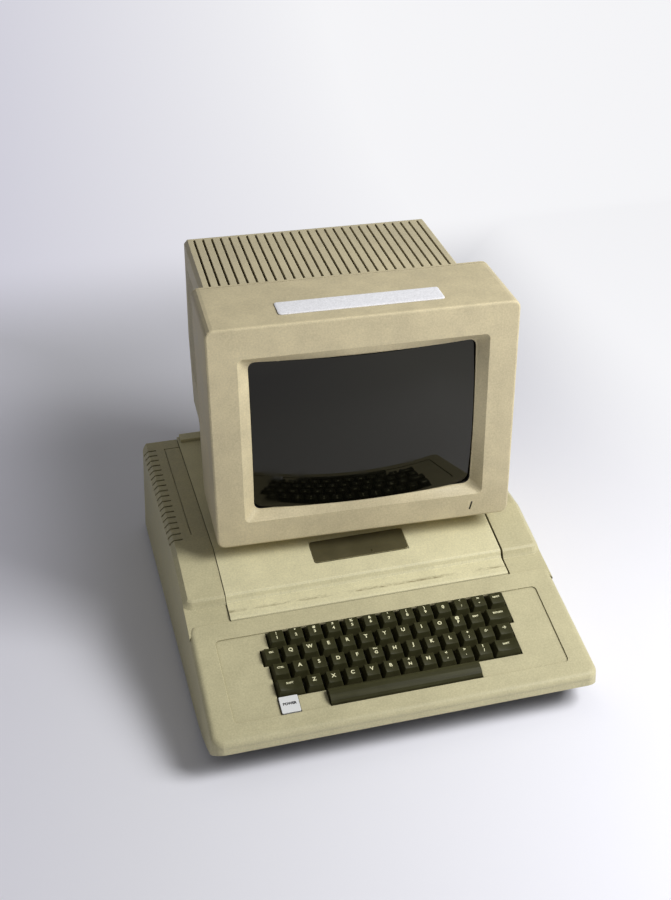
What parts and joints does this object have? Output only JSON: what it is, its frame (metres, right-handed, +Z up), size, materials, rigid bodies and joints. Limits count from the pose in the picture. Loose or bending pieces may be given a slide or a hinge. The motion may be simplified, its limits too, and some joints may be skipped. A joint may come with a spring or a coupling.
{
  "type": "home computer with monitor",
  "caption": "Wedge-cased home computer with a built-in full keyboard, a lift-off lid and a small boxy monitor standing on it, with rear switches.",
  "frame": {"origin": "bottom centre of the whole machine, at table level", "axes": "+X to the user's right, +Y from the front lip to the rear, +Z up"},
  "size_m": [0.3882, 0.4823, 0.3701],
  "materials": {
    "case_plastic": "fine moulded texture",
    "pan_paint": "satin dark paint",
    "foot_rubber": "dull",
    "badge_bronze": "satin, bare",
    "board_green": "lacquered board",
    "socket_plastic": "moulded",
    "supply_steel": "passivated sheet",
    "switch_black": "smooth",
    "speaker_paper": "pressed paper cone",
    "frame_paint": "satin",
    "lamp_white": "smooth translucent white",
    "key_brown": "fine satin texture",
    "tube_glass": "dark, polished",
    "board_brown": "laminate board",
    "knob_black": "fluted",
    "strip_fabric": "white woven loop pile"
  },
  "bodies": {
    "case": {"case_shell": "case_plastic", "base_pan": "pan_paint", "case_feet": "foot_rubber", "mainboard": "board_green", "card_slots": "socket_plastic", "power_supply": "supply_steel", "speaker": "speaker_paper", "key_frame": "frame_paint", "power_lamp": "lamp_white"},
    "lid": {"lid": "case_plastic", "badge_plate": "badge_bronze"},
    "monitor": {"monitor_front": "case_plastic", "monitor_back": "case_plastic", "picture_tube": "tube_glass", "monitor_board": "board_brown", "monitor_feet": "foot_rubber", "hook_strip": "strip_fabric"},
    "power_switch": {"power_switch": "switch_black"},
    "monitor_switch": {"monitor_switch": "switch_black"},
    "picture_knob": {"picture_knob": "knob_black"},
    "number_row": {"number_row": "key_brown"},
    "space_bar": {"space_bar": "key_brown"},
    "key_esc": {"key_esc": "key_brown"},
    "key_q": {"key_q": "key_brown"},
    "key_w": {"key_w": "key_brown"},
    "key_e": {"key_e": "key_brown"},
    "key_r": {"key_r": "key_brown"},
    "key_t": {"key_t": "key_brown"},
    "key_y": {"key_y": "key_brown"},
    "key_u": {"key_u": "key_brown"},
    "key_i": {"key_i": "key_brown"},
    "key_o": {"key_o": "key_brown"},
    "key_p": {"key_p": "key_brown"},
    "key_rept": {"key_rept": "key_brown"},
    "key_return": {"key_return": "key_brown"},
    "key_ctrl": {"key_ctrl": "key_brown"},
    "key_a": {"key_a": "key_brown"},
    "key_s": {"key_s": "key_brown"},
    "key_d": {"key_d": "key_brown"},
    "key_f": {"key_f": "key_brown"},
    "key_g": {"key_g": "key_brown"},
    "key_h": {"key_h": "key_brown"},
    "key_j": {"key_j": "key_brown"},
    "key_k": {"key_k": "key_brown"},
    "key_l": {"key_l": "key_brown"},
    "key_semicolon": {"key_semicolon": "key_brown"},
    "key_left": {"key_left": "key_brown"},
    "key_right": {"key_right": "key_brown"},
    "key_shift_left": {"key_shift_left": "key_brown"},
    "key_z": {"key_z": "key_brown"},
    "key_x": {"key_x": "key_brown"},
    "key_c": {"key_c": "key_brown"},
    "key_v": {"key_v": "key_brown"},
    "key_b": {"key_b": "key_brown"},
    "key_n": {"key_n": "key_brown"},
    "key_m": {"key_m": "key_brown"},
    "key_comma": {"key_comma": "key_brown"},
    "key_period": {"key_period": "key_brown"},
    "key_slash": {"key_slash": "key_brown"},
    "key_shift_right": {"key_shift_right": "key_brown"}
  },
  "joints": [
    {"name": "lid_lift", "type": "slide", "parent": "case", "child": "lid", "axis": [0, 0, 1], "range_m": [0, 0.09]},
    {"name": "monitor_lift", "type": "slide", "parent": "lid", "child": "monitor", "axis": [0, 0, 1], "range_m": [0, 0.15]},
    {"name": "power_switch_rock", "type": "hinge", "parent": "case", "child": "power_switch", "pos_m": [-0.1273, 0.19815, 0.0356], "axis": [1, 0, 0], "range_deg": [0, 24]},
    {"name": "monitor_switch_rock", "type": "hinge", "parent": "monitor", "child": "monitor_switch", "pos_m": [-0.0694, 0.22999, 0.151], "axis": [0.999, -0.0454, 0], "range_deg": [0, 24]},
    {"name": "picture_knob_turn", "type": "hinge", "parent": "monitor", "child": "picture_knob", "pos_m": [0.08002, 0.22921, 0.151], "axis": [0.0454, 0.999, 0], "range_deg": [-140, 140]},
    {"name": "number_row_press", "type": "slide", "parent": "case", "child": "number_row", "axis": [0, 0.2672, -0.9636], "range_m": [0, 0.0038], "stiffness_N_per_m": 900, "springref_m": -0.002},
    {"name": "key_esc_press", "type": "slide", "parent": "case", "child": "key_esc", "axis": [0, 0.2672, -0.9636], "range_m": [0, 0.0038], "stiffness_N_per_m": 120, "springref_m": -0.002},
    {"name": "key_q_press", "type": "slide", "parent": "case", "child": "key_q", "axis": [0, 0.2672, -0.9636], "range_m": [0, 0.0038], "stiffness_N_per_m": 120, "springref_m": -0.002},
    {"name": "key_w_press", "type": "slide", "parent": "case", "child": "key_w", "axis": [0, 0.2672, -0.9636], "range_m": [0, 0.0038], "stiffness_N_per_m": 120, "springref_m": -0.002},
    {"name": "key_e_press", "type": "slide", "parent": "case", "child": "key_e", "axis": [0, 0.2672, -0.9636], "range_m": [0, 0.0038], "stiffness_N_per_m": 120, "springref_m": -0.002},
    {"name": "key_r_press", "type": "slide", "parent": "case", "child": "key_r", "axis": [0, 0.2672, -0.9636], "range_m": [0, 0.0038], "stiffness_N_per_m": 120, "springref_m": -0.002},
    {"name": "key_t_press", "type": "slide", "parent": "case", "child": "key_t", "axis": [0, 0.2672, -0.9636], "range_m": [0, 0.0038], "stiffness_N_per_m": 120, "springref_m": -0.002},
    {"name": "key_y_press", "type": "slide", "parent": "case", "child": "key_y", "axis": [0, 0.2672, -0.9636], "range_m": [0, 0.0038], "stiffness_N_per_m": 120, "springref_m": -0.002},
    {"name": "key_u_press", "type": "slide", "parent": "case", "child": "key_u", "axis": [0, 0.2672, -0.9636], "range_m": [0, 0.0038], "stiffness_N_per_m": 120, "springref_m": -0.002},
    {"name": "key_i_press", "type": "slide", "parent": "case", "child": "key_i", "axis": [0, 0.2672, -0.9636], "range_m": [0, 0.0038], "stiffness_N_per_m": 120, "springref_m": -0.002},
    {"name": "key_o_press", "type": "slide", "parent": "case", "child": "key_o", "axis": [0, 0.2672, -0.9636], "range_m": [0, 0.0038], "stiffness_N_per_m": 120, "springref_m": -0.002},
    {"name": "key_p_press", "type": "slide", "parent": "case", "child": "key_p", "axis": [0, 0.2672, -0.9636], "range_m": [0, 0.0038], "stiffness_N_per_m": 120, "springref_m": -0.002},
    {"name": "key_rept_press", "type": "slide", "parent": "case", "child": "key_rept", "axis": [0, 0.2672, -0.9636], "range_m": [0, 0.0038], "stiffness_N_per_m": 120, "springref_m": -0.002},
    {"name": "key_return_press", "type": "slide", "parent": "case", "child": "key_return", "axis": [0, 0.2672, -0.9636], "range_m": [0, 0.0038], "stiffness_N_per_m": 120, "springref_m": -0.002},
    {"name": "key_ctrl_press", "type": "slide", "parent": "case", "child": "key_ctrl", "axis": [0, 0.2672, -0.9636], "range_m": [0, 0.0038], "stiffness_N_per_m": 120, "springref_m": -0.002},
    {"name": "key_a_press", "type": "slide", "parent": "case", "child": "key_a", "axis": [0, 0.2672, -0.9636], "range_m": [0, 0.0038], "stiffness_N_per_m": 120, "springref_m": -0.002},
    {"name": "key_s_press", "type": "slide", "parent": "case", "child": "key_s", "axis": [0, 0.2672, -0.9636], "range_m": [0, 0.0038], "stiffness_N_per_m": 120, "springref_m": -0.002},
    {"name": "key_d_press", "type": "slide", "parent": "case", "child": "key_d", "axis": [0, 0.2672, -0.9636], "range_m": [0, 0.0038], "stiffness_N_per_m": 120, "springref_m": -0.002},
    {"name": "key_f_press", "type": "slide", "parent": "case", "child": "key_f", "axis": [0, 0.2672, -0.9636], "range_m": [0, 0.0038], "stiffness_N_per_m": 120, "springref_m": -0.002},
    {"name": "key_g_press", "type": "slide", "parent": "case", "child": "key_g", "axis": [0, 0.2672, -0.9636], "range_m": [0, 0.0038], "stiffness_N_per_m": 120, "springref_m": -0.002},
    {"name": "key_h_press", "type": "slide", "parent": "case", "child": "key_h", "axis": [0, 0.2672, -0.9636], "range_m": [0, 0.0038], "stiffness_N_per_m": 120, "springref_m": -0.002},
    {"name": "key_j_press", "type": "slide", "parent": "case", "child": "key_j", "axis": [0, 0.2672, -0.9636], "range_m": [0, 0.0038], "stiffness_N_per_m": 120, "springref_m": -0.002},
    {"name": "key_k_press", "type": "slide", "parent": "case", "child": "key_k", "axis": [0, 0.2672, -0.9636], "range_m": [0, 0.0038], "stiffness_N_per_m": 120, "springref_m": -0.002},
    {"name": "key_l_press", "type": "slide", "parent": "case", "child": "key_l", "axis": [0, 0.2672, -0.9636], "range_m": [0, 0.0038], "stiffness_N_per_m": 120, "springref_m": -0.002},
    {"name": "key_semicolon_press", "type": "slide", "parent": "case", "child": "key_semicolon", "axis": [0, 0.2672, -0.9636], "range_m": [0, 0.0038], "stiffness_N_per_m": 120, "springref_m": -0.002},
    {"name": "key_left_press", "type": "slide", "parent": "case", "child": "key_left", "axis": [0, 0.2672, -0.9636], "range_m": [0, 0.0038], "stiffness_N_per_m": 120, "springref_m": -0.002},
    {"name": "key_right_press", "type": "slide", "parent": "case", "child": "key_right", "axis": [0, 0.2672, -0.9636], "range_m": [0, 0.0038], "stiffness_N_per_m": 120, "springref_m": -0.002},
    {"name": "key_shift_left_press", "type": "slide", "parent": "case", "child": "key_shift_left", "axis": [0, 0.2672, -0.9636], "range_m": [0, 0.0038], "stiffness_N_per_m": 120, "springref_m": -0.002},
    {"name": "key_z_press", "type": "slide", "parent": "case", "child": "key_z", "axis": [0, 0.2672, -0.9636], "range_m": [0, 0.0038], "stiffness_N_per_m": 120, "springref_m": -0.002},
    {"name": "key_x_press", "type": "slide", "parent": "case", "child": "key_x", "axis": [0, 0.2672, -0.9636], "range_m": [0, 0.0038], "stiffness_N_per_m": 120, "springref_m": -0.002},
    {"name": "key_c_press", "type": "slide", "parent": "case", "child": "key_c", "axis": [0, 0.2672, -0.9636], "range_m": [0, 0.0038], "stiffness_N_per_m": 120, "springref_m": -0.002},
    {"name": "key_v_press", "type": "slide", "parent": "case", "child": "key_v", "axis": [0, 0.2672, -0.9636], "range_m": [0, 0.0038], "stiffness_N_per_m": 120, "springref_m": -0.002},
    {"name": "key_b_press", "type": "slide", "parent": "case", "child": "key_b", "axis": [0, 0.2672, -0.9636], "range_m": [0, 0.0038], "stiffness_N_per_m": 120, "springref_m": -0.002},
    {"name": "key_n_press", "type": "slide", "parent": "case", "child": "key_n", "axis": [0, 0.2672, -0.9636], "range_m": [0, 0.0038], "stiffness_N_per_m": 120, "springref_m": -0.002},
    {"name": "key_m_press", "type": "slide", "parent": "case", "child": "key_m", "axis": [0, 0.2672, -0.9636], "range_m": [0, 0.0038], "stiffness_N_per_m": 120, "springref_m": -0.002},
    {"name": "key_comma_press", "type": "slide", "parent": "case", "child": "key_comma", "axis": [0, 0.2672, -0.9636], "range_m": [0, 0.0038], "stiffness_N_per_m": 120, "springref_m": -0.002},
    {"name": "key_period_press", "type": "slide", "parent": "case", "child": "key_period", "axis": [0, 0.2672, -0.9636], "range_m": [0, 0.0038], "stiffness_N_per_m": 120, "springref_m": -0.002},
    {"name": "key_slash_press", "type": "slide", "parent": "case", "child": "key_slash", "axis": [0, 0.2672, -0.9636], "range_m": [0, 0.0038], "stiffness_N_per_m": 120, "springref_m": -0.002},
    {"name": "key_shift_right_press", "type": "slide", "parent": "case", "child": "key_shift_right", "axis": [0, 0.2672, -0.9636], "range_m": [0, 0.0038], "stiffness_N_per_m": 120, "springref_m": -0.002},
    {"name": "space_bar_press", "type": "slide", "parent": "case", "child": "space_bar", "axis": [0, 0.2672, -0.9636], "range_m": [0, 0.0038], "stiffness_N_per_m": 260, "springref_m": -0.002}
  ]
}
